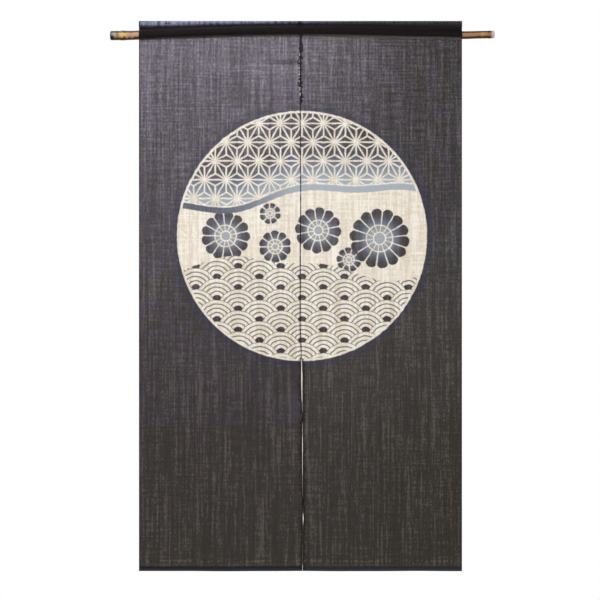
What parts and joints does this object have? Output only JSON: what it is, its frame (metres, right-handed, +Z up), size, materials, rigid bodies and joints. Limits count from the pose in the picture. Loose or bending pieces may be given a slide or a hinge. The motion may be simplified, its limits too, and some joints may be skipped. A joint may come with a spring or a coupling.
{
  "type": "noren curtain on a bamboo rod",
  "caption": "Split doorway curtain of sheer dark hemp with a pale round dyed design, its halves seamed at the top and hung on a tapering bamboo rod.",
  "frame": {"origin": "on the rod's axis where the two lengths of cloth meet", "axes": "+Z up, +X along the rod to the viewer's right, -Y towards the viewer in front of the cloth"},
  "size_m": [1.048, 0.0284, 1.5],
  "materials": {
    "hemp": "sheer plain weave with uneven yarns, dyed dark, matt",
    "bamboo": "mottled brown skin, satin"
  },
  "bodies": {
    "root": {"panel_left": "hemp", "panel_right": "hemp", "rod": "bamboo"}
  },
  "joints": []
}
